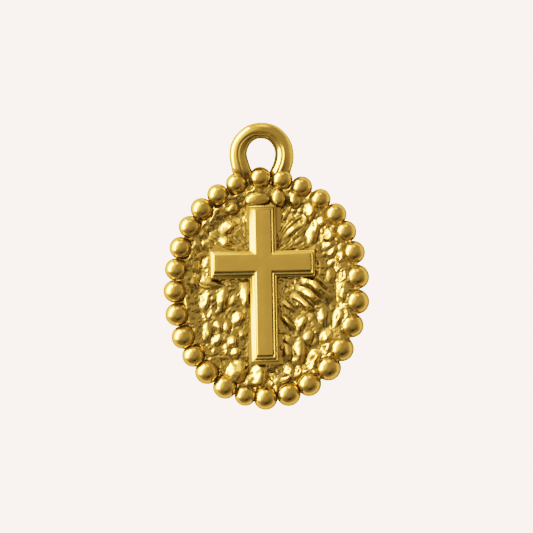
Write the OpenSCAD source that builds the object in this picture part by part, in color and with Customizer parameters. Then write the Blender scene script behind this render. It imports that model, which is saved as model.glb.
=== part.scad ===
// Oval cross medallion charm, cast in one piece, lying on its back.
// The origin is on the flat back under the middle of the oval, +Y towards the bail, +Z the face.

/* [Medallion] */
// Width of the medallion across its rim of beads
rim_w = 14.75; // [14:0.05:16]
// Height of the medallion across its rim of beads
rim_h = 17.35; // [16.5:0.05:18]
// Thickness of the flat plate that carries everything
plate_t = 0.9; // [0.8:0.05:1.1]

/* [Beads] */
// Radius of a bead whose size in the BEADS table is 100
bead_r = 0.83; // [0.8:0.01:0.85]
// Height of the beads' centres above the flat back
bead_z = 0.8; // [0.7:0.05:0.85]

/* [Cross] */
// Height of the cross, foot to head
cross_h = 11.1; // [9:0.1:11.5]
// Length of the cross's arms, tip to tip
cross_w = 7.3; // [6:0.1:7.6]
// Width of the upright and of the arms
cross_bar = 1.75; // [1.5:0.05:2]
// Height of the flat face of the cross above the back
cross_z = 1.95; // [1.8:0.05:2.2]
// Lean of the cross to the left, in degrees
cross_lean = 1; // [0:0.5:3]

/* [Bail] */
// Radius of the hole that takes a jump ring
eye_r = 1; // [0.98:0.01:1.02]
// Outer radius of the bail's ring
bail_r = 2.29; // [2.2:0.01:2.4]
// Thickness of the bail's round wire
bail_wire = 1.42; // [1.4:0.02:1.5]

/* [Ground] */
// Height of the lumpy ground's hollows above the plate
ground_low = 0.06; // [0:0.01:0.1]
// Height of the tallest lumps above the hollows
ground_lift = 0.5; // [0.3:0.05:0.6]

/* [Hidden] */
GOLD = "goldenrod";

// Smooth round surfaces
$fn = 64;

// Depth by which one form is sunk into the next where they are fused
sink = 0.4;

// Beads clockwise from the one left of the top, charted by eye, one row each:
// [x, y, size in hundredths of bead_r]
BEADS = [
    [-0.46, 7.91, 96], [1.09, 7.78, 94], [2.5, 7.27, 92], [3.83, 6.38, 91], [4.91, 5.31, 97], [5.62, 4.08, 97],
    [6.19, 2.6, 101], [6.44, 0.86, 107], [6.44, -0.91, 108], [6.05, -2.59, 107], [5.33, -4.26, 110],
    [4.4, -5.63, 111], [3.03, -6.76, 107], [1.57, -7.48, 106], [-0.06, -7.77, 106], [-1.51, -7.57, 93],
    [-2.95, -6.98, 105], [-4.24, -5.93, 104], [-5.2, -4.76, 98], [-5.92, -3.44, 103], [-6.38, -1.82, 101],
    [-6.53, -0.17, 100], [-6.45, 1.39, 98], [-6.12, 2.92, 97], [-5.47, 4.42, 96], [-4.62, 5.69, 97],
    [-3.46, 6.7, 94], [-2.15, 7.49, 91]
];
// Width and height of the medallion at which the beads are charted
CHARTED = [14.75, 17.35];
// How far the plate's edge lies inside the rim's outline
plate_in = 0.71;

// Middle of the cross's crossing, from the middle of the oval
CROSS_AT = [-0.31, 1.84];
// Height of the crossing's middle above the foot, as a share of the cross's height
cross_rise = 0.635;
// Bevel widths of the cross: left, right, top and bottom sides
BEVEL = [0.48, 0.26, 0.33, 0.4];
// Height of the bevels
bevel_t = 0.3;
// Low step round the foot of the cross: how far it stands out left, right, top and bottom
STEP_OUT = [0.22, 0.5, 0.3, 0.3];
// Height of the step above the plate
step_t = 0.28;

// Middle of the bail's hole, and middle of the ring's outside, from the middle of the oval
EYE_AT = [-0.38, 9.66];
BAIL_AT = [-0.35, 9.58];
// How much of the wire's underside is cut off flat
bail_flat = 0.03;
// Height of the wire's middle above the back
bail_z = bail_wire / 2 - bail_flat;
// Radius of the worn notch under the hole, and the distance of its middle below the hole's
notch_r = 0.68;
notch_drop = 0.8;
// The two roots that carry the ring: radius, how far they lie inside the wire's outer side,
// how far below the ring's middle they start, and where they end above the middle of the oval
root_r = 0.58;
root_inset = 0.14;
root_start = 0.3;
root_end = 7.3;

// How far a cutting shape runs past what it cuts
past = 1;

// How far the lumpy ground's edge lies inside the rim's outline, and its half axes
ground_in = 1.5;
GROUND = [rim_w / 2 - ground_in, rim_h / 2 - ground_in];
// Cells of the ground's surface across and along
CELLS = [50, 60];

// Lumps of the hammered ground, charted by eye, one row each:
// [x, y, half length, half width, turn of the length from +X in degrees, height in hundredths]
LUMPS = [
    // Above the right arm
    [1.0, 6.5, 0.75, 0.5, 100, 80], [2.1, 6.3, 0.5, 0.45, 90, 70], [3.0, 5.4, 0.85, 0.4, 65, 90],
    [3.4, 3.9, 0.9, 0.42, 80, 90], [4.4, 3.5, 0.65, 0.5, 60, 80], [4.4, 2.7, 0.55, 0.45, 120, 60],
    [1.6, 4.2, 1.3, 0.3, 40, 70], [2.5, 4.6, 1.2, 0.25, 42, 50], [1.5, 5.4, 0.6, 0.4, 20, 40],
    [5.2, 2.1, 0.45, 0.4, 70, 60], [2.3, 3.2, 1.4, 0.3, 18, 40], [3.85, 4.9, 0.4, 0.35, 60, 60],
    [4.45, 1.95, 0.35, 0.3, 80, 60],
    // Below the right arm
    [3.6, 0.1, 1.3, 0.35, 130, 90], [2.7, -0.4, 1.1, 0.3, 145, 85], [2.1, -1.0, 0.8, 0.28, 145, 60],
    [4.6, 1.0, 0.75, 0.4, 95, 85], [5.3, -0.5, 0.55, 0.4, 65, 60], [4.0, -2.0, 0.75, 0.36, 80, 85],
    [2.4, -2.6, 0.75, 0.4, 70, 80], [3.0, -3.5, 0.55, 0.42, 110, 70], [2.2, -4.5, 0.9, 0.45, 80, 85],
    [1.6, -1.9, 0.7, 0.25, 150, 50], [5.0, -2.3, 0.6, 0.45, 70, 65], [4.3, -3.6, 0.7, 0.5, 60, 70],
    [3.3, -5.0, 0.8, 0.45, 50, 70], [1.7, -5.9, 0.6, 0.5, 110, 60], [1.5, -3.3, 0.7, 0.25, 140, 50],
    [3.2, -2.2, 0.55, 0.35, 80, 50], [1.35, -4.4, 0.8, 0.35, 85, 35], [0.85, -5.5, 0.45, 0.4, 60, 50],
    // Below the left arm
    [-1.5, -0.4, 1.05, 0.32, 92, 80], [-3.2, -0.7, 0.85, 0.42, 80, 85], [-4.5, -0.9, 0.85, 0.42, 70, 75],
    [-2.1, -2.1, 0.6, 0.5, 45, 80], [-4.3, -3.1, 0.9, 0.38, 85, 80], [-3.5, -2.6, 0.75, 0.32, 100, 65],
    [-2.9, -2.7, 0.75, 0.32, 95, 65], [-3.5, -3.9, 0.42, 0.38, 90, 70], [-2.4, -3.7, 0.5, 0.4, 110, 70],
    [-2.2, -4.6, 0.5, 0.42, 60, 60], [-2.0, -5.8, 0.75, 0.6, 60, 80], [-0.5, -6.2, 0.85, 0.55, 95, 85],
    [-5.1, 0.5, 0.7, 0.4, 80, 60], [-3.6, 0.2, 1.1, 0.35, 10, 50], [-3.9, -4.9, 0.8, 0.35, 30, 50],
    [-1.7, -3.2, 0.5, 0.4, 60, 45],
    // Above the left arm
    [-2.3, 5.6, 0.5, 0.45, 60, 80], [-3.0, 4.4, 0.8, 0.5, 40, 85], [-3.0, 3.4, 0.65, 0.35, 165, 65],
    [-4.0, 3.0, 0.7, 0.45, 150, 60], [-1.7, 3.5, 0.9, 0.3, 120, 50], [-0.9, 6.1, 0.5, 0.45, 20, 70],
    [-4.3, 4.7, 0.7, 0.35, 130, 45], [-4.9, 1.6, 0.55, 0.33, 90, 60], [-1.9, 4.7, 0.7, 0.3, 125, 50],
    [-3.15, 5.3, 0.35, 0.25, 70, 50]
];

// Middle of a bead, its row's x and y scaled with the medallion
function bead_at(row) = [row[0] * rim_w / CHARTED[0], row[1] * rim_h / CHARTED[1], bead_z];

// Points of an oval
function oval(half_w, half_h, count = 120) =
    [for (k = [0:count - 1]) [half_w * cos(360 * k / count), half_h * sin(360 * k / count)]];

// Outline of a cross that stands out past the bars by out = [left, right, top, bottom]
function cross_outline(out) =
    let (b = cross_bar / 2,
         a = cross_w / 2,
         foot = -cross_h * cross_rise,
         head = foot + cross_h)
    [[-b - out[0], foot - out[3]], [b + out[1], foot - out[3]], [b + out[1], -b - out[3]],
     [a + out[1], -b - out[3]], [a + out[1], b + out[2]], [b + out[1], b + out[2]],
     [b + out[1], head + out[2]], [-b - out[0], head + out[2]], [-b - out[0], b + out[2]],
     [-a - out[0], b + out[2]], [-a - out[0], -b - out[3]], [-b - out[0], -b - out[3]]];

// The same outline's corners as four-sided fields: foot, left arm, crossing, right arm, head
CROSS_FIELDS = [[0, 1, 2, 11], [10, 11, 8, 9], [11, 2, 5, 8], [2, 3, 4, 5], [8, 5, 6, 7]];

// Height of one lump at a point: a rounded dome on an ellipse, nothing outside it
function lump(p, row) =
    let (dx = p[0] - row[0],
         dy = p[1] - row[1],
         along = (dx * cos(row[4]) + dy * sin(row[4])) / row[2],
         across = (dy * cos(row[4]) - dx * sin(row[4])) / row[3],
         left = 1 - along * along - across * across)
    row[5] / 100 * max(0, left);

// Height of the ground at a point: the tallest lump there
function ground_z(p) = plate_t + ground_low + ground_lift * max([for (row = LUMPS) lump(p, row)]);

// A point of the ground's grid: the unit square drawn smoothly onto the oval
function ground_xy(u, v) = [GROUND[0] * u * sqrt(1 - v * v / 2), GROUND[1] * v * sqrt(1 - u * u / 2)];

module plate() {
    linear_extrude(plate_t)
        polygon(oval(rim_w / 2 - plate_in, rim_h / 2 - plate_in));
}

module beads() {
    for (row = BEADS)
        translate(bead_at(row))
            sphere(bead_r * row[2] / 100);
}

// The lumpy ground: one closed skin over the grid, with a flat underside sunk in the plate
module ground() {
    across = CELLS[0];
    along = CELLS[1];
    at = [for (j = [0:along]) for (i = [0:across]) ground_xy(2 * i / across - 1, 2 * j / along - 1)];
    top = [for (p = at) [p[0], p[1], ground_z(p)]];
    border = [
        for (i = [0:across]) i,
        for (j = [1:along]) j * (across + 1) + across,
        for (i = [1:across]) along * (across + 1) + across - i,
        for (j = [1:along - 1]) (along - j) * (across + 1)
    ];
    low = [for (k = border) [at[k][0], at[k][1], plate_t - sink]];
    n = len(border);
    first_low = len(top);
    polyhedron(
        points = concat(top, low),
        faces = [
            for (j = [0:along - 1]) for (i = [0:across - 1]) let (k = j * (across + 1) + i)
                each [[k, k + across + 1, k + across + 2], [k, k + across + 2, k + 1]],
            for (k = [0:n - 1]) let (next = (k + 1) % n)
                each [
                    [border[k], border[next], first_low + next],
                    [border[k], first_low + next, first_low + k]
                ],
            [for (k = [0:n - 1]) first_low + k]
        ]
    );
}

module cross_step() {
    linear_extrude(sink + step_t)
        polygon(cross_outline(STEP_OUT));
}

// The cross: straight sides, then bevels of four widths up to the flat face
module cross_body() {
    foot_z = plate_t + step_t - sink;
    sides = cross_outline([0, 0, 0, 0]);
    face = cross_outline(-BEVEL);
    n = len(sides);
    polyhedron(
        points = concat(
            [for (p = sides) [p[0], p[1], foot_z]],
            [for (p = sides) [p[0], p[1], cross_z - bevel_t]],
            [for (p = face) [p[0], p[1], cross_z]]
        ),
        faces = [
            each CROSS_FIELDS,
            for (ring = [0, 1]) for (k = [0:n - 1]) let (next = (k + 1) % n)
                [ring * n + k, ring * n + n + k, ring * n + n + next, ring * n + next],
            for (field = CROSS_FIELDS) [for (k = [3:-1:0]) 2 * n + field[k]]
        ]
    );
}

module cross() {
    translate([CROSS_AT[0], CROSS_AT[1], 0]) rotate(cross_lean) {
        translate([0, 0, plate_t - sink])
            cross_step();
        cross_body();
    }
}

// The bail: a ring of round wire on two roots, drilled for the jump ring
module bail() {
    difference() {
        translate([BAIL_AT[0], BAIL_AT[1], bail_z]) {
            rotate_extrude()
                translate([bail_r - bail_wire / 2, 0])
                    circle(bail_wire / 2);
            for (side = [-1, 1])
                translate([side * (bail_r - root_inset - root_r), -root_start, 0]) rotate([90, 0, 0])
                    cylinder(h = BAIL_AT[1] - root_start - root_end, r = root_r);
        }
        translate([EYE_AT[0], EYE_AT[1], -past])
            cylinder(h = bail_wire + 2 * past, r = eye_r);
        translate([EYE_AT[0], EYE_AT[1] - notch_drop, -past])
            cylinder(h = bail_wire + 2 * past, r = notch_r);
    }
}

// The whole casting, with all that reaches below the flat back cut off
module charm() {
    color(GOLD) difference() {
        union() {
            plate();
            ground();
            beads();
            cross();
            bail();
        }
        translate([-rim_w, -rim_h, -past])
            cube([2 * rim_w, 2 * rim_h, past]);
    }
}

charm();
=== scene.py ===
"""Cross medallion charm: an oval medallion cast in one piece, dressed as polished yellow gold plate.

The frame is the row frame: the origin on the flat back under the middle of the oval, +Y towards the bail
and +Z out of the face. Sizes are in millimetres until a mesh, lamp or camera is made, and MM turns them
into metres.
"""
import bpy
import numpy as np
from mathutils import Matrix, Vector


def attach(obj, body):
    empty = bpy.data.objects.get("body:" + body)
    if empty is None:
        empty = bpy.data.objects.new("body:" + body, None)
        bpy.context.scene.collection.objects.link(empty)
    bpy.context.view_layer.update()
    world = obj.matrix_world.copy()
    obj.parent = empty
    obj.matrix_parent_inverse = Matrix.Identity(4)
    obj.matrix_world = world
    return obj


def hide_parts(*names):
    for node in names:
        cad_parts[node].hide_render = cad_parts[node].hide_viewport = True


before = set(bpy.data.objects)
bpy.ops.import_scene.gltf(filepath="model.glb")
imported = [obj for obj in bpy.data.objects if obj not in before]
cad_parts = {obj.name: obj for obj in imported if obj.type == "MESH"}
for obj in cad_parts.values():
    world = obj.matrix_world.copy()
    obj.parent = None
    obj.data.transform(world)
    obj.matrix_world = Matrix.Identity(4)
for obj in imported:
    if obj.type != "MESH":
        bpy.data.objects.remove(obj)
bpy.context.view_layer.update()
MM = 0.001


# Copy stand
# The charm lies on its back on a pale satin card, and the camera looks straight down on it from 30 cm with
# a long lens. To the camera the card is a copy stand's bright, even ground, and to the gold it is a card in
# soft light.

# Where the camera looks, how wide it sees at the height FOCUS_Z, and its own height
VIEW_AT = (0.0, 1.597)
VIEW_WIDTH = 37.99
VIEW_FROM = 300.0
FOCUS_Z = 0.9
SENSOR = 36.0
CARD_COLOUR = "#F8F3F0"
CARD_SIDE = 3000.0
# How far the card lies under the charm's back, so that the two faces stay apart
CARD_BELOW = 0.01
# The film's red, green and blue layers: how strongly each takes the light, and the powers of its toe and
# shoulder
FILM_BALANCE = np.array([1.0, 0.95, 0.32])
FILM_TOE = np.array([1.15, 1.2, 1.15])
FILM_SHOULDER = np.array([1.2, 0.9, 1.2])


def linear(hex_colour):
    """An sRGB hex colour as linear red, green, blue and 1: the standard curve, channel by channel."""
    c = np.array([int(hex_colour[k:k + 2], 16) for k in (1, 3, 5)]) / 255
    return (*np.where(c <= 0.04045, c / 12.92, ((c + 0.055) / 1.055) ** 2.4).tolist(), 1.0)


def film(light, layer):
    """One layer's response: linear light to linear tone on the print, t / (1 + t^s)^(1/s), with t =
    light^toe and s the shoulder. Gold goes from olive and amber through yellow to cream as it brightens."""
    toe = np.asarray(light, float) ** FILM_TOE[layer]
    return toe / (1 + toe ** FILM_SHOULDER[layer]) ** (1 / FILM_SHOULDER[layer])


def glow_for(colour):
    """The scene light, red, green and blue, that the film shows as this linear colour."""
    light = np.geomspace(0.001, 100, 4000)
    return (*(float(np.interp(colour[k], film(light, k), light)) / FILM_BALANCE[k] for k in range(3)), 1.0)


def add(tree, kind, inputs=None, **settings):
    """A new node with its settings, and each named input set to a value or linked to a node's output."""
    node = tree.nodes.new(kind)
    for name, value in settings.items():
        setattr(node, name, value)
    for name, value in (inputs or {}).items():
        if isinstance(value, bpy.types.NodeSocket):
            tree.links.new(value, node.inputs[name])
        else:
            node.inputs[name].default_value = value
    return node


lens = bpy.data.cameras.new("copy_stand")
lens.sensor_width = SENSOR
lens.lens = SENSOR * (VIEW_FROM - FOCUS_Z) / VIEW_WIDTH
lens.clip_start = 10 * MM
lens.clip_end = 5000 * MM
camera = bpy.data.objects.new("copy_stand", lens)
camera.location = (VIEW_AT[0] * MM, VIEW_AT[1] * MM, VIEW_FROM * MM)
bpy.context.scene.collection.objects.link(camera)
bpy.context.scene.camera = camera

card_look = bpy.data.materials.new("pale_satin_card")
card_look.use_nodes = True
tree = card_look.node_tree
tree.nodes.clear()
ray = add(tree, "ShaderNodeLightPath")
satin = add(tree, "ShaderNodeBsdfPrincipled", {
    "Base Color": linear(CARD_COLOUR), "Roughness": 0.22, "Specular IOR Level": 1.0,
    "Emission Color": linear(CARD_COLOUR), "Emission Strength": 0.33})
lit = add(tree, "ShaderNodeEmission", {"Color": glow_for(linear(CARD_COLOUR)), "Strength": 1.0})
seen = add(tree, "ShaderNodeMixShader", {
    0: ray.outputs["Is Camera Ray"], 1: satin.outputs[0], 2: lit.outputs[0]})
add(tree, "ShaderNodeOutputMaterial", {"Surface": seen.outputs[0]})

half = CARD_SIDE / 2 * MM
card_mesh = bpy.data.meshes.new("card")
card_mesh.from_pydata([(-half, -half, 0), (half, -half, 0), (half, half, 0), (-half, half, 0)], [],
                      [(0, 1, 2, 3)])
card_mesh.materials.append(card_look)
card = bpy.data.objects.new("card", card_mesh)
card.location.z = -CARD_BELOW * MM
bpy.context.scene.collection.objects.link(card)


# Studio light
# One large softbox stands low at the upper left and a dim strip at the right. The room is a soft grey,
# brighter round the softbox and behind the bail, and dark towards the foot of the charm, where the camera's
# stand shades it.
SOFTBOX = {"turn": 156, "rise": 19, "far": 500, "wide": 820, "high": 400, "radiance": 16.0}
STRIP = {"turn": 10, "rise": 8, "far": 500, "wide": 430, "high": 70, "radiance": 0.75}
ROOM = 0.52
# Patches of the room: turn off +X and rise above the card in degrees, the half angles where each is full
# and where it ends, and the radiance that it adds
ROOM_PATCHES = [
    (154, 22, 20, 62, 1.5),  # the softbox's soft spill
    (-35, 42, 8, 42, -0.22),  # this and the next four: the shade of the camera's stand
    (-106, 33, 10, 44, -0.28),
    (-62, 36, 5, 22, -0.14),
    (-36, 36, 4, 20, -0.12),
    (-88, 36, 4, 20, -0.12),
    (88, 24, 5, 17, 2.4)]  # the pale wall behind the bail
# The film's curve: its faintest light above darkness, its brightest, and how many points lie between them
FILM_FAINT, FILM_WHITE, FILM_POINTS = 0.02, 12.0, 24


def direction(turn, rise):
    """The way towards a place at this compass turn off +X and this rise above the card, both in degrees."""
    t, r = np.radians(turn), np.radians(rise)
    return (np.cos(r) * np.cos(t), np.cos(r) * np.sin(t), np.sin(r))


def lamp(name, turn, rise, far, wide, high, radiance):
    """A rectangular lamp that faces the charm, at a turn off +X, a rise above the card and a distance. Its
    power is pi times radiance times area, which is what a flat even glow of that radiance needs."""
    area = bpy.data.lights.new(name, "AREA")
    area.shape = "RECTANGLE"
    area.size = wide * MM
    area.size_y = high * MM
    area.energy = np.pi * radiance * area.size * area.size_y
    toward = Vector(direction(turn, rise))
    held = bpy.data.objects.new(name, area)
    held.location = toward * far * MM
    held.rotation_euler = toward.to_track_quat("Z", "Y").to_euler()
    bpy.context.scene.collection.objects.link(held)


lamp("softbox", **SOFTBOX)
lamp("strip", **STRIP)

room = bpy.data.worlds.new("studio_room")
bpy.context.scene.world = room
room.use_nodes = True
tree = room.node_tree
tree.nodes.clear()
way = add(tree, "ShaderNodeTexCoord")
grey = ROOM
for turn, rise, full, ends, adds in ROOM_PATCHES:
    near = add(tree, "ShaderNodeVectorMath", {0: way.outputs["Generated"], 1: direction(turn, rise)},
               operation="DOT_PRODUCT")
    patch = add(tree, "ShaderNodeMapRange", {
        0: near.outputs["Value"], 1: np.cos(np.radians(ends)), 2: np.cos(np.radians(full)), 3: 0.0, 4: adds},
        interpolation_type="SMOOTHSTEP")
    grey = add(tree, "ShaderNodeMath", {0: grey, 1: patch.outputs[0]}, operation="ADD").outputs[0]
glow = add(tree, "ShaderNodeBackground", {"Color": (1, 1, 1, 1), "Strength": grey})
wall = add(tree, "ShaderNodeBackground", {"Color": glow_for(linear(CARD_COLOUR)), "Strength": 1.0})
ray = add(tree, "ShaderNodeLightPath")
both = add(tree, "ShaderNodeMixShader", {
    0: ray.outputs["Is Camera Ray"], 1: glow.outputs[0], 2: wall.outputs[0]})
add(tree, "ShaderNodeOutputWorld", {"Surface": both.outputs[0]})

view = bpy.context.scene.view_settings
view.view_transform = "Standard"
view.look = "None"
view.use_curve_mapping = True
view.curve_mapping.white_level = FILM_WHITE / FILM_BALANCE
exposed = np.append(0.0, np.geomspace(FILM_FAINT, FILM_WHITE, FILM_POINTS))
for layer in range(3):
    points = view.curve_mapping.curves[layer].points
    for at, level in zip(exposed / FILM_WHITE, film(exposed, layer)):
        points.new(at, level)
    points[0].location = (0.0, 0.0)
    points[len(points) - 1].location = (1.0, film(FILM_WHITE, layer))
view.curve_mapping.update()
# One bounce from gold to gold is all that shows on so flat a thing. Light that comes by way of another face
# is held down, so that the hollows don't glow orange
bpy.context.scene.cycles.use_denoising = True
bpy.context.scene.cycles.glossy_bounces = 1
bpy.context.scene.cycles.sample_clamp_indirect = 1.6
bpy.context.scene.cycles.caustics_reflective = False


# Plate with the hammered ground
# The plate and its lumpy ground are cast in one with the rest: a flat back, and a face of rounded nuggets
# and of fine rays that run out from the cross. Polishing brightens the tops and leaves the hollows rough as
# they were cast, and painted shade darkens the hollows.

# Half width and half height of the plate's oval, and its thickness without the ground
PLATE_HALF = (6.66, 7.96)
PLATE_T = 0.9
# Cells of the face across and along, and about how wide one is
GROUND_CELLS = (276, 324)
CELL = 0.049
# Where the bars of the cross meet
CROSS_AT = np.array([-0.31, 1.84])
# Nuggets, charted: x, y, half length, half width, turn of the length off +X in degrees, and boldness
NUGGETS = np.array([
    # Above the left arm
    [-2.65, 4.32, .72, .42, 48, .7],
    [-3.05, 5.17, .26, .14, 100, .6], [-2.78, 3.28, .58, .36, 138, .95], [-3.98, 3.0, .52, .34, 125, .95],
    [-1.75, 3.62, .65, .14, 130, .5], [-1.9, 4.72, .62, .2, 143, .45], [-3.8, 5.07, .5, .12, 62, .35],
    [-4.2, 4.62, .5, .13, 125, .3], [-3.4, 5.77, .5, .28, 60, .4], [-2.1, 6.77, .8, .3, 10, .4],
    [-4.8, 3.07, .5, .2, 110, .4], [-4.4, 3.77, .4, .2, 125, .45], [-3.5, 3.67, .5, .16, 140, .4],
    [-1.5, 4.17, .5, .16, 95, .45], [-2.35, 2.87, .8, .12, 175, .3], [-4.5, 2.37, .4, .2, 35, .45],
    [-5.2, 2.47, .35, .15, 60, .35], [-4.2, 1.82, .3, .2, 60, .45], [-5.5, 1.77, .4, .12, 130, .35],
    # Left of the upright, below the left arm
    [-4.88, 1.5, .42, .28, 90, .55], [-5.0, 0.38, .6, .3, 84, .6], [-3.55, 0.32, .8, .3, 160, .6],
    [-4.1, 1.22, .3, .12, 90, .5], [-4.3, -1.08, .7, .31, 76, .9], [-4.1, -0.43, .45, .2, 25, .6],
    [-3.05, -0.83, .88, .36, 83, .95], [-2.3, -0.88, .5, .28, 60, .45], [-1.38, -0.48, 1.15, .4, 91, .95],
    [-1.88, -2.18, .55, .42, 50, .9], [-4.9, -1.43, .35, .2, 165, .5], [-4, -1.88, .3, .14, 75, .55],
    [-3.75, -0.73, .3, .22, 30, .5], [-3.6, -2.13, .25, .15, 150, .5], [-1.5, -1.68, .3, .2, 70, .6],
    [-2.4, -1.38, .5, .1, 28, .35],
    # Lower left
    [-3.32, -2.73, .52, .29, 102, .95], [-2.75, -2.78, .52, .28, 97, .95], [-4.15, -3.23, .68, .32, 88, .9],
    [-3.45, -3.75, .38, .33, 80, .9], [-2.3, -3.83, .52, .36, 112, .95], [-2.08, -4.58, .45, .36, 50, .9],
    [-3.72, -4.4, .14, .12, 0, .5], [-2.78, -4.48, .2, .12, 95, .6], [-4.48, -4.38, .35, .14, 80, .5],
    [-2.9, -4.85, .28, .1, 128, .4], [-1.85, -5.98, .8, .68, 62, .85], [-0.35, -6.23, .82, .58, 82, .9],
    [-0.85, -5.33, .3, .1, 130, .6], [-0.62, -5.45, .12, .1, 0, .5], [-1.65, -3.23, .4, .28, 100, .6],
    [-1.48, -3.28, .35, .1, 85, .6], [-2, -2.83, .3, .12, 40, .5], [-4.1, -4.73, .4, .15, 5, .35],
    [-4.1, -5, .6, .08, 0, .3], [-3.25, -5.43, .5, .1, 110, .35], [-1.65, -4.88, .2, .12, 60, .35],
    # Lower right
    [2.52, -2.58, .62, .33, 70, .9], [3.08, -3.53, .5, .38, 75, .95], [2.42, -4.68, .95, .5, 84, 1.0],
    [1.8, -3.93, .35, .15, 145, .65], [1.6, -4.58, .6, .4, 100, .55], [1.75, -5.78, .42, .33, 120, .8],
    [1.6, -6.28, .5, .25, 35, .8], [0.65, -6.18, .3, .08, 125, .5], [0.8, -5.88, .3, .08, 120, .45],
    [0.45, -6.33, .25, .08, 130, .4], [3.5, -4.95, .65, .42, 60, .9], [4.32, -3.43, .6, .45, 75, .95],
    [4.4, -4.18, .45, .32, 85, .85], [4.02, -3.48, .28, .1, 70, .65], [2.85, -5.83, .28, .14, 20, .65],
    [3.25, -5.63, .2, .12, 20, .6], [2.45, -5.88, .25, .15, 60, .5], [4.7, -4.78, .3, .09, 140, .6],
    [4.2, -4.83, .25, .1, 10, .5], [3.4, -2.53, .25, .14, 20, .8], [3.3, -1.93, .33, .16, 110, .7],
    [4.1, -2.1, .85, .32, 92, .95], [5.15, -2.08, .6, .35, 80, .85], [1.6, -2.43, .6, .12, 135, .4],
    [1.35, -3.08, .6, .2, 145, .5], [1.8, -2.93, .55, .08, 130, .4], [2.15, -1.53, .35, .12, 130, .55],
    [2, -1.88, .5, .12, 130, .45], [1.55, -1.83, .5, .12, 140, .35], [3.55, -3.73, .5, .3, 90, .5],
    [4.05, -3.03, .14, .12, 0, .5], [4.7, -1.48, .15, .12, 0, .5], [4.55, -2.43, .5, .2, 95, .4],
    # Right of the upright, below the right arm
    [1.55, -1.13, .3, .18, 0, .5], [4.65, 0.87, .5, .34, 85, .9],
    [4.6, 1.77, .28, .2, 70, .8], [3.9, 0.77, .4, .07, 132, .5], [4.65, -0.13, .5, .08, 130, .5],
    [5.45, -0.58, .5, .32, 80, .9], [5.55, 1.37, .25, .08, 20, .55], [5.35, 1.07, .35, .08, 80, .5],
    [5.65, 0.97, .35, .08, 100, .5], [5.45, 0.67, .25, .1, 30, .5], [5.3, 2.17, .32, .28, 80, .8],
    [5.1, 1.82, .3, .1, 80, .45], [4.2, 1.42, .25, .12, 60, .4], [5.25, 0.12, .3, .15, 60, .55],
    [3.85, 1.77, .5, .14, 90, .3], [3.2, -1.03, .4, .2, 150, .3], [5.3, -1.43, .3, .12, 20, .5],
    # Above the right arm
    [1.67, 5.62, .16, .12, 90, .5],
    [1.9, 4.99, .42, .18, 155, .65], [2.15, 5.17, .15, .1, 60, .5], [3.18, 5.37, .78, .42, 63, .95],
    [1.9, 4.17, .9, .28, 41, .75], [3.42, 3.92, .85, .42, 77, .95], [2.45, 3.67, .32, .14, 65, .5],
    [3.1, 3.27, .25, .2, 60, .5], [4.05, 4.72, .38, .3, 10, .8], [3.6, 5.67, .14, .12, 0, .5],
    [4.55, 3.65, .55, .36, 50, .95], [4.5, 3.07, .5, .38, 55, .85], [4.78, 4.02, .36, .16, 70, .75],
    [4.72, 2.62, .5, .42, 60, .6], [4.15, 2.52, .12, .1, 0, .5], [1.7, 3.62, .45, .08, 45, .35],
    [1.45, 3.42, .4, .1, 40, .3], [1.4, 4.47, .5, .1, 50, .3], [2.7, 4.57, .5, .1, 45, .35],
    [2.8, 4.17, .35, .1, 55, .4], [4, 4.17, .3, .15, 110, .4], [4.35, 4.52, .3, .1, 125, .5],
    [5.1, 3.47, .3, .15, 110, .45], [1.4, 5.27, .4, .2, 60, .35], [2.5, 5.47, .3, .2, 30, .4],
    [1.6, 7.02, .4, .15, 150, .35], [3.7, 2.77, .25, .2, 90, .35], [3.6, 2.27, .3, .2, 0, .3]])
# Pebbles about the head of the cross, rounder, like small beads: x, y, half length, half width, turn and
# height
PEBBLES = np.array([
    [-0.66, 6.34, .92, .6, 5, .5], [0.86, 6.45, .74, .54, 98, .58], [2.02, 6.32, .66, .5, 100, .54],
    [-2.42, 5.72, .5, .45, 30, .48]])
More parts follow.
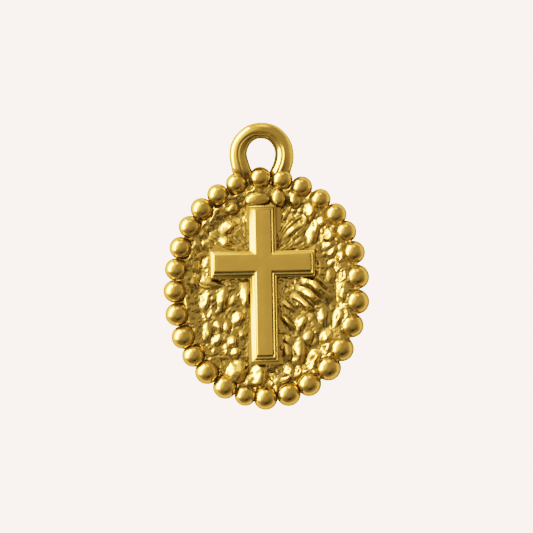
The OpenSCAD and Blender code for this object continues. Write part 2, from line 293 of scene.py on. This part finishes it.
# Ridges: half width, then x, y and height of points along the crest. The first three fan out below the
# right arm
RIDGES = [
    (0.33, [[2.3, 0.42, 0], [3.05, 0.58, 0.28], [3.7, 0.08, 0.52], [4.15, -0.37, 0.2], [4.8, -1.0, 0]]),
    (0.35, [[1.85, 0.15, 0], [2.65, -0.06, 0.28], [3.4, -0.6, 0.56], [3.8, -0.98, 0]]),
    (0.28, [[1.65, -0.25, 0], [2.3, -0.65, 0.22], [2.98, -1.28, 0.48], [3.3, -1.65, 0]]),
    (0.22, [[0.95, -0.75, 0], [1.7, -1.3, 0.26], [2.2, -1.75, 0]]),
    (0.24, [[0.95, -2.0, 0], [1.65, -2.45, 0.28], [2.05, -3.2, 0]]),
    (0.34, [[1.15, -3.35, 0], [1.6, -3.65, 0.2], [2.1, -3.95, 0]]),
    (0.09, [[3.3, 1.25, 0], [4.0, 0.5, 0.14], [4.75, -0.25, 0]]),
    (0.1, [[0.75, 3.35, 0], [1.7, 4.6, 0.12], [2.9, 5.4, 0]]),
    (0.1, [[1.1, 3.2, 0], [2.2, 4.3, 0.1], [3.1, 5.0, 0]]),
    (0.12, [[-4.55, 3.95, 0], [-3.8, 3.5, 0.12], [-2.85, 2.95, 0.12], [-1.65, 2.8, 0]]),
    (0.12, [[-4.4, 4.55, 0], [-3.65, 3.95, 0.12], [-2.6, 3.5, 0.12], [-1.6, 3.1, 0]]),
    (0.1, [[-4.9, 5.2, 0], [-4.0, 5.6, 0.1], [-3.2, 6.3, 0]]),
    (0.12, [[-5.2, 0.9, 0], [-4.4, 0.1, 0.12], [-3.3, 0.3, 0]]),
    (0.1, [[-5.3, -1.0, 0], [-4.6, -1.6, 0.1], [-4.2, -2.4, 0]]),
    (0.12, [[-3.9, -4.9, 0], [-2.9, -4.9, 0.1], [-2.2, -5.4, 0]]),
    (0.1, [[3.4, 2.0, 0], [4.2, 2.5, 0.1], [5.0, 2.6, 0]])]
# Sharpness, per millimetre, with which one nugget gives way to the next
NUGGET_EDGE = 32.0
# How far the foot of a nugget spreads beyond its charted, bright part
NUGGET_SPREAD = 1.15
# The nuggets lean to the upper left, by this share of their size along x and y
LEAN = (-0.32, 0.13)
# How far the lumps' outlines are bent, and the width of the bends
WARP = (0.035, 0.45)
# Waves in the ground under the lumps, and in the shares where the banks lie: size, width and seed of each
SWELL = [(0.05, 0.75, 4), (0.015, 0.28, 5)]
WANDER = [(0.03, 0.9, 8), (0.03, 0.4, 7)]
# The 28 beads of the rim, clockwise from the top: x, y and radius
BEADS = np.array([
    [-0.46, 7.91, 0.797], [1.09, 7.78, 0.78], [2.5, 7.27, 0.765], [3.83, 6.38, 0.756], [4.91, 5.31, 0.805],
    [5.62, 4.08, 0.805], [6.19, 2.6, 0.838], [6.44, 0.86, 0.887], [6.44, -0.91, 0.895], [6.05, -2.59, 0.887],
    [5.33, -4.26, 0.912], [4.4, -5.63, 0.92], [3.03, -6.76, 0.887], [1.57, -7.48, 0.879],
    [-0.06, -7.77, 0.863], [-1.51, -7.57, 0.772], [-2.95, -6.98, 0.87], [-4.24, -5.93, 0.863],
    [-5.2, -4.76, 0.813], [-5.92, -3.44, 0.855], [-6.38, -1.82, 0.838], [-6.53, -0.17, 0.83],
    [-6.45, 1.39, 0.805], [-6.12, 2.92, 0.805], [-5.47, 4.42, 0.797], [-4.62, 5.69, 0.805],
    [-3.46, 6.7, 0.78], [-2.15, 7.49, 0.756]])
# A web of metal fills the gap where two beads meet: its half width and its height
WEB = (0.17, 0.3)
# How the ground shapes up towards the rim, from one share of the plate's outline to another, by so much in
# height: a shallow valley, a bank up to the beads, and a fall between them
BANKS = [(0.6, 0.76, -0.18), (0.74, 0.88, 0.26), (0.87, 0.96, -0.26)]
# The whole ground lifts towards its right edge by this much
DISH = 0.42


def lattice_noise(points, cell, seed):
    """Smooth random values from -1 to 1: a seeded random value on each corner of a lattice with this cell,
    and between the corners the values blended by the s-curve 3t^2 - 2t^3 along each axis. It repeats after
    64 cells."""
    side = 64
    axes = points.shape[-1]
    lattice = np.random.default_rng(seed).uniform(-1, 1, (side,) * axes)
    at = points / cell
    low = np.floor(at).astype(int)
    t = at - low
    t = t * t * (3 - 2 * t)
    total = 0
    for corner in np.ndindex(*(2,) * axes):
        share = np.prod(np.where(corner, t, 1 - t), axis=-1)
        index = (low + corner) % side
        total = total + share * lattice[tuple(index[..., k] for k in range(axes))]
    return total


def waves(points, layers):
    """Noise in layers, added up: the size, the width of the waves and the seed of each."""
    return sum(size * lattice_noise(points, width, seed) for size, width, seed in layers)


def smooth_path(stations, steps):
    """Points along a smooth path through the stations: between two of them, p1 and p2, with p0 before and
    p3 after, the cubic 0.5 (2 p1 + (p2 - p0) t + (2 p0 - 5 p1 + 4 p2 - p3) t^2 + (3 p1 - p0 - 3 p2 + p3)
    t^3)."""
    held = np.concatenate([2 * stations[:1] - stations[1:2], stations, 2 * stations[-1:] - stations[-2:-1]])
    at = np.linspace(0, len(stations) - 1, steps)
    k = np.minimum(at.astype(int), len(stations) - 2)
    t = (at - k)[:, None]
    p0, p1, p2, p3 = (held[k + n] for n in range(4))
    return 0.5 * (2 * p1 + (p2 - p0) * t + (2 * p0 - 5 * p1 + 4 * p2 - p3) * t ** 2
                  + (3 * p1 - p0 - 3 * p2 + p3) * t ** 3)


def in_ellipse(x, y, cx, cy, long, wide, turn):
    """The square of how far out each point lies in an ellipse, 0 in the middle and 1 on the edge: a^2 +
    b^2, with a the distance along the turned length as a share of long, and b that across it as a share of
    wide."""
    c, s = np.cos(np.radians(turn)), np.sin(np.radians(turn))
    along = ((x - cx) * c + (y - cy) * s) / long
    across = ((y - cy) * c - (x - cx) * s) / wide
    return along ** 2 + across ** 2


def lumps(x, y):
    """Height of nuggets and ridges in millimetres. A nugget is its foot's half width times (0.38 + 0.46
    boldness) times 1 - (q^2 + 0.02)^0.65, where q is how far out the point lies in its foot's ellipse,
    which reaches further on the side it leans to: a steep flank up to a soft crest. A ridge is the crest's
    height at the nearest place along its path times 1 - q^3, where q is the distance from there as a share
    of its half width: a flat top and steep flanks. Over all goes the soft maximum log(1 + sum(exp(k h) -
    1)) / k."""
    total = np.ones_like(x)
    for cx, cy, long, wide, turn, bold in NUGGETS:
        way = ((x - cx) * LEAN[0] + (y - cy) * LEAN[1]) / (np.hypot(x - cx, y - cy) + 1e-6)
        q2 = in_ellipse(x, y, cx, cy, long * NUGGET_SPREAD, wide * NUGGET_SPREAD, turn) / (1 + way) ** 2
        crest = (0.38 + 0.46 * bold) * wide * NUGGET_SPREAD
        total += np.expm1(NUGGET_EDGE * crest * np.maximum(1 - (np.minimum(q2, 1) + 0.02) ** 0.65, 0))
    for wide, stations in RIDGES:
        crest = smooth_path(np.array(stations), 16)
        nearest, high = np.full_like(x, 9.0), np.zeros_like(x)
        for a, b in zip(crest[:-1], crest[1:]):
            dx, dy, rise = b - a
            t = np.clip(((x - a[0]) * dx + (y - a[1]) * dy) / (dx * dx + dy * dy), 0, 1)
            q2 = ((x - a[0] - t * dx) ** 2 + (y - a[1] - t * dy) ** 2) / wide ** 2
            high = np.where(q2 < nearest, a[2] + t * rise, high)
            nearest = np.minimum(nearest, q2)
        total += np.expm1(NUGGET_EDGE * high * np.maximum(1 - nearest ** 1.5, 0))
    return np.log(total) / NUGGET_EDGE


def rays(x, y):
    """Fine rays that run out from the cross: noise in the turn and the distance from the crossing, long
    along the distance and narrow across it, folded by (1 - |n|)^2 into sharp ridges."""
    dx, dy = x - CROSS_AT[0], y - CROSS_AT[1]
    turn = np.arctan2(dy, dx) / (2 * np.pi)
    far = np.hypot(dx, dy)
    broad = 1 - np.abs(lattice_noise(np.stack([turn * 64, far / 1.1], -1), 1, 11))
    fine = 1 - np.abs(lattice_noise(np.stack([turn * 128, far / 0.6], -1), 1, 12))
    return 0.6 * broad ** 2 + 0.4 * fine ** 2


def s_curve(value, low, high):
    """0 below low, 1 above high, and 3t^2 - 2t^3 between them."""
    t = np.clip((value - low) / (high - low), 0, 1)
    return t * t * (3 - 2 * t)


def ground_height(x, y):
    """Height of the face above the plate in millimetres, and how much painted shade darkens each point, 0 to
    1.

    The height is the swell, plus the lumps with their outlines warped and cut down near the rim, plus rays,
    which end short of the rim, and crumbs, both where no lump covers them, plus the banks, the rise to the
    right and the webs between beads. Pebbles stand over all of it, as half ellipsoids.

    Painted shade darkens the creases, where a point lies lower than its neighbours a tenth of a millimetre
    away, the rim, the steep flanks and the feet of the beads. Less of it falls at the right rim."""
    flat = np.stack([x, y], -1)
    wx, wy = (axis + WARP[0] * lattice_noise(flat, WARP[1], seed) for axis, seed in ((x, 1), (y, 2)))
    share = np.hypot(x / PLATE_HALF[0], y / PLATE_HALF[1]) + waves(flat, WANDER)
    dome = lumps(wx, wy)
    bare = np.exp(-(dome / 0.05) ** 2)
    outer = s_curve(share, 0.6, 0.8)
    crumbs = np.maximum(lattice_noise(flat, 0.22, 3), lattice_noise(flat, 0.14, 9))
    texture = (1 - outer) * 0.1 * rays(wx, wy) + (0.035 + 0.012 * outer) * crumbs
    dish = s_curve(x, 0.3, 6.8)
    banks = sum(rise * s_curve(share, low, high) for low, high, rise in BANKS) + DISH * dish
    off = np.sort([np.hypot(x - bx, y - by) - r for bx, by, r in BEADS], axis=0)
    banks += WEB[1] * (1 - 0.8 * dish) * np.exp(-(off[0] ** 2 + off[1] ** 2) / WEB[0] ** 2)
    height = (0.12 + waves(flat, SWELL) + dome * (1 - 0.6 * s_curve(share, 0.9, 0.97))
              + (0.08 + 0.92 * bare) * texture + banks)
    for *place, high in PEBBLES:
        ball = high * np.sqrt(np.maximum(1 - in_ellipse(wx, wy, *place), 0))
        height = np.where(ball > 0, np.maximum(height, ball), height)
    near = sum(np.roll(height, step, axis) for step in (-2, 2) for axis in (0, 1)) / 4
    steep = np.hypot(*np.gradient(height)) / CELL
    # Painted shade: creases, the rim between the beads, steep flanks and the feet of the beads are darkened,
    # less of it at the right rim
    right_rim = dish * s_curve(share, 0.7, 0.85)
    creases = 0.95 * s_curve(near - height, 0.005, 0.016)
    along_rim = 0.45 * (1 - 0.8 * dish) * s_curve(share, 0.88, 0.93)
    flanks = 0.7 * s_curve(steep, 1.0, 1.8)
    painted_shade = (creases + along_rim + flanks) * (0.5 + 0.5 * s_curve(off[0], 0.0, 0.3)) * (1 - 0.7 * right_rim)
    painted_shade += (0.9 - 0.7 * dish) * np.exp(-((off[0] + 0.04) / 0.07) ** 2)
    return height, np.clip(painted_shade, 0, 1)


def shell(name, verts, faces, smooth, look):
    """A piece of the charm from points in millimetres and faces. It turns the faces outward where the
    volume they enclose comes out negative, shades the smooth ones smooth, and puts the piece on the
    charm."""
    verts = np.asarray(verts, float) * MM
    mesh = bpy.data.meshes.new(name)
    mesh.from_pydata(verts.tolist(), [], faces)
    mesh.polygons.foreach_set("use_smooth", smooth)
    mesh.calc_loop_triangles()
    corners = np.empty(len(mesh.loop_triangles) * 3, int)
    mesh.loop_triangles.foreach_get("vertices", corners)
    a, b, c = np.moveaxis(verts[corners.reshape(-1, 3)], 1, 0)
    if (np.cross(a, b) * c).sum() < 0:
        mesh.flip_normals()
    mesh.materials.append(look)
    piece = bpy.data.objects.new(name, mesh)
    bpy.context.scene.collection.objects.link(piece)
    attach(piece, "root")
    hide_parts("charm")
    return piece


def mark_hollows(piece, by, values):
    """The attribute that the gold's material reads, by POINT or by face CORNER: 0 on a crest to 1 in a
    hollow, where the gold grows dull and is darkened by painted shade."""
    marks = piece.data.attributes.new("hollow", "FLOAT", by)
    marks.data.foreach_set("value", values)


# Gold plate is brightest and yellowest where it is polished and no painted shade falls. Its polish wanders
# in patches this wide, its colour is deeper by these shares in some of them, and the hollows are dull and
# darkened to olive brown by painted shade
PATCH = 1.1
DEEPER = (0.97, 0.95, 0.9, 1)
PAINTED_SHADE_COLOUR = "#4A4A34"


def gold_plate(name, body, rim, rough, grain, lift, painted_shade, hollow_lift=0.0):
    """Polished gold plate on a cast body. Its colour is body, and rim at a grazing view. Its roughness
    wanders between the two of rough, and its skin has a grain of this size and lift in millimetres. Where
    the attribute is 1, in a hollow, it is rougher by 0.15 and metallic by 0.8, a share of its colour as
    large as stain is turned to olive brown as painted shade, and its grain stands higher by hollow_lift."""
    look = bpy.data.materials.new(name)
    look.use_nodes = True
    tree = look.node_tree
    tree.nodes.clear()
    at = add(tree, "ShaderNodeTexCoord").outputs["Object"]
    deep = add(tree, "ShaderNodeAttribute", attribute_name="hollow").outputs["Fac"]
    patch = add(tree, "ShaderNodeTexNoise", {"Vector": at, "Scale": 1 / (PATCH * MM), "Detail": 3.0})
    polish = add(tree, "ShaderNodeMapRange", {
        0: patch.outputs["Fac"], 1: 0.35, 2: 0.65, 3: rough[0], 4: rough[1]})
    roughness = add(tree, "ShaderNodeMath", {0: deep, 1: 0.15, 2: polish.outputs[0]},
                    operation="MULTIPLY_ADD")
    metallic = add(tree, "ShaderNodeMath", {0: deep, 1: -0.2, 2: 1.0}, operation="MULTIPLY_ADD")
    gold_tone = add(tree, "ShaderNodeMixRGB", {
        0: patch.outputs["Fac"], 1: linear(body), 2: tuple(c * s for c, s in zip(linear(body), DEEPER))})
    # Painted shade: where the attribute is high, a share of the colour is turned to olive brown
    share = add(tree, "ShaderNodeMath", {0: deep, 1: painted_shade}, operation="MULTIPLY")
    tone = add(tree, "ShaderNodeMixRGB", {0: share.outputs[0], 1: gold_tone.outputs[0], 2: linear(PAINTED_SHADE_COLOUR)})
    skin = add(tree, "ShaderNodeTexNoise", {"Vector": at, "Scale": 1 / (grain * MM), "Detail": 4.0})
    grain_lift = add(tree, "ShaderNodeMath", {0: deep, 1: hollow_lift * MM, 2: lift * MM},
                     operation="MULTIPLY_ADD")
    bump = add(tree, "ShaderNodeBump", {
        "Height": skin.outputs["Fac"], "Distance": grain_lift.outputs[0], "Strength": 1.0})
    gold = add(tree, "ShaderNodeBsdfPrincipled", {
        "Base Color": tone.outputs[0], "Metallic": metallic.outputs[0], "Roughness": roughness.outputs[0],
        "Normal": bump.outputs[0], "Specular Tint": linear(rim)})
    add(tree, "ShaderNodeOutputMaterial", {"Surface": gold.outputs[0]})
    return look


ground_look = gold_plate("cast_gold_ground", body="#FEDD97", rim="#FFF4DC", rough=(0.12, 0.19), grain=0.12,
                         lift=0.003, painted_shade=0.85, hollow_lift=0.006)
# The face is a grid over the square u, v from -1 to 1, drawn out to the oval: x = a u sqrt(1 - v^2 / 2) and
# y = b v sqrt(1 - u^2 / 2). Walls go straight down from its border, and one face closes the back
cells_x, cells_y = GROUND_CELLS
u, v = np.meshgrid(np.linspace(-1, 1, cells_x + 1), np.linspace(-1, 1, cells_y + 1))
gx = PLATE_HALF[0] * u * np.sqrt(1 - v * v / 2)
gy = PLATE_HALF[1] * v * np.sqrt(1 - u * u / 2)
relief, painted_shade = ground_height(gx, gy)
top = np.stack([gx, gy, PLATE_T + relief], -1).reshape(-1, 3)
k = np.arange(len(top)).reshape(cells_y + 1, cells_x + 1)
quads = np.stack([k[:-1, :-1], k[:-1, 1:], k[1:, 1:], k[1:, :-1]], -1).reshape(-1, 4)
border = np.concatenate([k[0, :-1], k[:-1, -1], k[-1, :0:-1], k[:0:-1, 0]])
low = top[border] * (1, 1, 0)
below = len(top) + np.arange(len(border))
walls = np.stack([border, below, np.roll(below, -1), np.roll(border, -1)], -1)
faces = quads.tolist() + walls.tolist() + [below[::-1].tolist()]
plate = shell("hammered_plate", np.concatenate([top, low]), faces,
              [True] * len(quads) + [False] * (len(walls) + 1), ground_look)
mark_hollows(plate, "POINT", np.concatenate([painted_shade.ravel(), np.zeros(len(border))]))


# Rim of beads
# 28 beads cast round the edge, each a ball flattened where it lies on its back. They are rolled by hand in
# the wax, so no two are quite alike, and tumbling has polished their tops.

# Height of a bead's middle, and how many rings it has and points to a ring
BEAD_Z = 0.8
BEAD_GRID = (30, 48)


def closed_rings(rings, first, last):
    """Faces of a closed skin over rings of points, m rings of n: quads between neighbouring rings, each
    ring closed on itself, and a fan to one point at either end. The points come ring by ring, then first,
    then last."""
    m, n = rings
    k = np.arange(m * n).reshape(m, n)
    ahead = np.roll(k, -1, axis=1)
    quads = np.stack([k[:-1], ahead[:-1], ahead[1:], k[1:]], -1).reshape(-1, 4)
    start = np.stack([np.full(n, first), ahead[0], k[0]], -1)
    end = np.stack([np.full(n, last), k[-1], ahead[-1]], -1)
    return quads.tolist() + start.tolist() + end.tolist()


def bead_points(x, y, r, seed):
    """One bead: a ball of radius r times 0.995, plus 0.014 of broad and 0.004 of fine noise of the
    direction, cut flat where it would reach below the back. Rings from the top down, then the top and the
    bottom point."""
    down = np.linspace(0, np.pi, BEAD_GRID[0] + 2)
    round_ = np.linspace(0, 2 * np.pi, BEAD_GRID[1], endpoint=False)
    d, a = np.meshgrid(down[1:-1], round_, indexing="ij")
    way = np.stack([np.sin(d) * np.cos(a), np.sin(d) * np.sin(a), np.cos(d)], -1).reshape(-1, 3)
    way = np.concatenate([way, [[0, 0, 1], [0, 0, -1]]])
    swell = 0.995 + waves(way + 10, [(0.014, 0.8, seed), (0.004, 0.3, seed + 50)])
    points = way * (r * swell)[:, None] + (x, y, BEAD_Z)
    points[:, 2] = np.maximum(points[:, 2], 0)
    return points


bead_look = gold_plate("tumbled_gold_beads", body="#FEDC97", rim="#D8CCB4", rough=(0.15, 0.21), grain=0.25,
                       lift=0.002, painted_shade=0.8)
beads = np.array([bead_points(x, y, r, 100 + n) for n, (x, y, r) in enumerate(BEADS)])
count = beads.shape[1]
one = closed_rings(BEAD_GRID, count - 2, count - 1)
faces = [[corner + n * count for corner in face] for n in range(len(beads)) for face in one]
rim = shell("rim_beads", beads.reshape(-1, 3), faces, [True] * len(faces), bead_look)
# Polish reaches only the top of a bead, which grows dull from 0.38 to 0.2 mm above its middle, and darker
# there with painted shade
mark_hollows(rim, "POINT", s_curve(BEAD_Z - beads[:, :, 2], -0.38, -0.2).ravel())


# Cross
# A plain Latin cross stands up from the ground on a low ledge, cast with it. Its face is flat and filed
# smooth. Its left and top sides are chamfered, and its right and lower sides fall in two thin rolls between
# seams darkened by painted shade, which also darkens the lower rolls and the ledge's wall.

# Its height and width, and the width of its bars
CROSS_H, CROSS_W, CROSS_BAR = 11.1, 7.3, 1.75
# Share of its height that lies below the crossing, and its lean anticlockwise in degrees
CROSS_BELOW, CROSS_LEAN = 0.635, 1.0
# Its eight kinds of side: upright's left and right, arms' top and bottom, arm ends left and right, head and
# foot. How far the face's edge lies inside the outline, how deep the chamfer is, 0 on a rolled side, how far
# the rolls reach beyond the outline, the power of their shares, lower for a wider seam, how much painted
# shade darkens the rolls, and how far the ledge stands out
FACE_IN = np.array([0.46, 0.235, 0.27, 0.34, 0.27, 0.2, 0.3, 0.52])
CHAMFER = np.array([0.33, 0, 0.18, 0, 0.2, 0, 0.03, 0])
ROLLS_BEYOND = np.array([0, 0.2, 0, 0.16, 0, 0.1, 0, 0.0])
SEAM_BIAS = np.array([1, 0.9, 1, 0.6, 1, 0.8, 1, 0.75])
ROLL_PAINTED_SHADE = np.array([0, 0, 0, 0.75, 0, 0.1, 0, 0.7])
LEDGE_OUT = np.array([0.18, 0.5, 0.42, 0.2, 0.12, 0.15, 0.1, 0.15])
# Profile of a rolled side, from the face down to its foot: how far out from the face's edge, as a share of
# the side's width, height and painted shade. Two thin rolls stand between seams darkened by painted shade
ROLLED = np.array([
    [-0.9, 1.95, 0], [-0.02, 1.93, 0], [0, 1.93, 0], [0.03, 1.85, 1], [0.13, 1.83, 1], [0.15, 1.84, 0],
    [0.28, 1.915, 0], [0.36, 1.91, 0], [0.46, 1.84, 0.2], [0.48, 1.78, 1], [0.56, 1.78, 1], [0.58, 1.79, 0],
    [0.71, 1.85, 0], [0.8, 1.84, 0], [0.9, 1.78, 0.3], [1, 1.5, 1], [1.01, 0.5, 0.3]])
# Profile of the ledge: how far out from the cross's outline, as a share of its reach, height and painted
# shade
LEDGE = np.array([[-0.5, 1.1, 0], [1, 1.07, 0], [1.06, 1.0, 0.5], [1.08, 0.5, 0.3]])
# How far from a corner its mitre ends
MITRE = 0.1
# Which of the eight each side of the outline is, from the foot on, anticlockwise, and the way it runs
SIDES = np.array([7, 1, 3, 5, 2, 1, 6, 0, 2, 4, 3, 0])
RUNS = np.array([[1, 0], [0, 1], [1, 0], [0, 1], [-1, 0], [0, 1], [-1, 0], [0, -1], [-1, 0], [0, -1], [1, 0],
                 [0, -1]])
# Points round one level of the cross: each corner is three
AROUND = 3 * len(SIDES)


def cross_corners(out):
    """The twelve corners of the cross, its eight kinds of side moved out by out."""
    b, a = CROSS_BAR / 2, CROSS_W / 2
    y0 = -CROSS_H * CROSS_BELOW - out[7]
    y3 = CROSS_H * (1 - CROSS_BELOW) + out[6]
    x0, x1, x2, x3 = -a - out[4], -b - out[0], b + out[1], a + out[5]
    y1, y2 = -b - out[3], b + out[2]
    return np.array([[x1, y0], [x2, y0], [x2, y1], [x3, y1], [x3, y2], [x2, y2],
                     [x2, y3], [x1, y3], [x1, y2], [x0, y2], [x0, y1], [x1, y1]])


def moulded_cross(outs, heights, painted_shades):
    """Points, faces and painted shade by face corner of a closed cross with its own profile on each of the
    eight kinds of side. The profiles run down by levels, in rows. Each corner of the outline becomes three
    points: the end of one side, the mitre at the mean of both heights, and the start of the next side."""
    levels = []
    for out, z in zip(outs, heights):
        corner = cross_corners(out)
        after, before = RUNS * MITRE, -np.roll(RUNS, 1, axis=0) * MITRE
        own, last = z[SIDES], np.roll(z[SIDES], 1)
        trio = [np.column_stack([corner + before, last]), np.column_stack([corner, (own + last) / 2]),
                np.column_stack([corner + after, own])]
        levels.append(np.stack(trio, 1).reshape(AROUND, 3))
    k = np.arange(AROUND * len(levels)).reshape(-1, AROUND)
    ahead = np.roll(k, -1, axis=1)
    quads = np.stack([k[:-1], ahead[:-1], ahead[1:], k[1:]], -1).reshape(-1, 4)
    own, last = painted_shades[:, SIDES], np.roll(painted_shades[:, SIDES], 1, axis=1)
    lead = np.stack([last, own, own], -1).reshape(-1, AROUND)
    trail = np.roll(np.stack([last, last, own], -1).reshape(-1, AROUND), -1, axis=1)
    by_corner = np.stack([lead[:-1], trail[:-1], trail[1:], lead[1:]], -1).reshape(-1)
    faces = quads.tolist() + [k[0, ::-1].tolist(), k[-1].tolist()]
    return np.concatenate(levels), faces, np.concatenate([by_corner, np.zeros(2 * AROUND)])


cross_look = gold_plate("filed_gold_cross", body="#FEDC97", rim="#FFF4DC", rough=(0.34, 0.38), grain=0.3,
                        lift=0.001, painted_shade=0.97)
# A rolled side reaches out by its share to the power of its bias. A chamfered one, in the same rows,
# reaches the outline at a share of 0.9, rounded at its upper edge by the power 1.15, and drops from there
# with its rows a hair apart, 0.002 mm by their shares
u, z, painted_shade = ROLLED.T[..., None]
chamfered = CHAMFER > 0
fall = np.minimum(u / 0.9, 1)
outs = np.where(chamfered, (fall - 1) * FACE_IN + 0.002 * u,
                np.sign(u) * np.abs(u) ** SEAM_BIAS * (FACE_IN + ROLLS_BEYOND) - FACE_IN)
heights = np.where(chamfered & (u > 0) & (u <= 0.9), z[u == 0] - CHAMFER * np.maximum(fall, 0) ** 1.15, z)
# Painted shade darkens the seams, the rolls of the lower sides, and the foot of a chamfered side
painted_shade = np.maximum(painted_shade, ROLL_PAINTED_SHADE * (u > 0.1))
points, faces, painted_shades = moulded_cross(outs, heights, np.where(chamfered, 0 * painted_shade + (u >= 1), painted_shade))
u, z, painted_shade = LEDGE.T[..., None]
low_points, low_faces, low_painted_shades = moulded_cross(u * LEDGE_OUT, z + 0 * LEDGE_OUT, painted_shade + 0 * LEDGE_OUT)
body = len(points)
faces += [[corner + body for corner in face] for face in low_faces]
points = np.concatenate([points, low_points])
c, s = np.cos(np.radians(CROSS_LEAN)), np.sin(np.radians(CROSS_LEAN))
points[:, :2] = points[:, :2] @ np.array([[c, s], [-s, c]]) + CROSS_AT
smooth = [len(face) == 4 and max(face) < body for face in faces]
cross = shell("latin_cross", points, faces, smooth, cross_look)
mark_hollows(cross, "CORNER", np.concatenate([painted_shades, low_painted_shades]))


# Bail
# A fixed ring of round wire, cast with the medallion, whose two legs run down behind the top beads. It is a
# little flattened where it lies on its back, and its upper flanks are filed like a roof's, with a thin
# crease between.

# Height of the wire's middle as a share of its top's
WIRE_MIDDLE = 0.49
# Stations along the ring from the left leg over the top to the right leg: outer x, y, inner x, y, and how
# high the wire's top stands, which falls away where the legs run in under the beads
RING = np.array([
    [-2.25, 7.3, -0.8, 7.3, 0.7], [-2.34, 7.9, -0.9, 7.9, 1.1], [-2.45, 8.35, -1.02, 8.35, 1.33],
    [-2.57, 8.9, -1.22, 8.9, 1.39], [-2.65, 9.58, -1.4, 9.58, 1.39],
    [-2.53, 10.36, -1.33, 10.0, 1.39], [-2.13, 11.03, -1.12, 10.39, 1.39], [-1.52, 11.56, -0.8, 10.64, 1.39],
    [-0.95, 11.79, -0.57, 10.71, 1.39], [-0.37, 11.868, -0.36, 10.72, 1.39],
    [0.23, 11.79, -0.13, 10.69, 1.39],
    [0.83, 11.55, 0.13, 10.58, 1.39], [1.41, 11.03, 0.38, 10.32, 1.39], [1.8, 10.36, 0.56, 9.97, 1.39],
    [1.94, 9.58, 0.61, 9.58, 1.39], [1.9, 9.0, 0.5, 9.0, 1.39], [1.74, 8.4, 0.24, 8.4, 1.33],
    [1.62, 7.9, 0.08, 7.9, 1.1], [1.52, 7.3, -0.05, 7.3, 0.7]])
# Sections along the ring, and points round each
RING_STEPS = 180
WIRE_STEPS = 96
# How the flanks are filed. Rows: share of the way along the ring, turn of the crease round the wire from
# its outer side in radians, and the fall of the roof
FILED = np.array([[0, 1.5, 0.4], [0.3, 1.6, 0.4], [0.42, 1.85, 0.42], [0.5, 2.0, 0.4], [0.62, 1.95, 0.5],
                  [0.75, 1.75, 0.75], [1, 1.75, 0.75]])
# The crease's depth, and its half width in radians round the wire
CREASE_DEPTH = 0.06
CREASE_HALF = 0.11
# How round the roof's ridge is, and the power of the round flanks below it, higher for squarer ones
ROOF_ROUND, FLANK_POWER = 0.05, 8


bail_look = gold_plate("polished_gold_bail", body="#FEDC97", rim="#FFF4DC", rough=(0.1, 0.16), grain=0.3,
                       lift=0.002, painted_shade=0.9)
# Each section of the wire is x = cos a across, and up by its middle and z = sin a below or the roof above,
# which is (1 - fall (sqrt(x^2 + round) - sqrt(round))) sqrt(1 - x^8), less the crease
path = smooth_path(RING, RING_STEPS)
outer, inner, top_z = path[:, :2], path[:, 2:4], path[:, 4:]
middle = (outer + inner) / 2
round_ = np.linspace(0, 2 * np.pi, WIRE_STEPS, endpoint=False)
across = (outer - inner)[:, None] / 2 * np.cos(round_)[:, None]
share = np.linspace(0, 1, RING_STEPS)
crease_at, fall = (np.interp(share, FILED[:, 0], FILED[:, k])[:, None] for k in (1, 2))
crease = CREASE_DEPTH * np.exp(-((round_ - crease_at) / CREASE_HALF) ** 2)
x, z = np.cos(round_), np.sin(round_)
roof = ((1 - fall * (np.sqrt(x * x + ROOF_ROUND) - np.sqrt(ROOF_ROUND)))
        * np.sqrt(np.maximum(1 - x ** FLANK_POWER, 0)))
height = np.maximum(top_z * (WIRE_MIDDLE + (1 - WIRE_MIDDLE) * np.where(z > 0, roof, z)) - crease, 0)
rings = np.concatenate([middle[:, None] + across, height[..., None]], -1)
ends = np.column_stack([middle, WIRE_MIDDLE * top_z])[[0, -1]]
points = np.concatenate([rings.reshape(-1, 3), ends])
faces = closed_rings((RING_STEPS, WIRE_STEPS), len(points) - 2, len(points) - 1)
ring = shell("ring_bail", points, faces, [True] * len(faces), bail_look)
# The wire is dull and darkened by painted shade low down, a little higher up on its inner side, and in the
# crease
low = s_curve(0.1 * s_curve(-x, -0.2, 0.3) - z, -0.55, -0.25) + 0.7 * crease / CREASE_DEPTH
mark_hollows(ring, "POINT", np.append(np.clip(low, 0, 1).ravel(), [0, 0]))
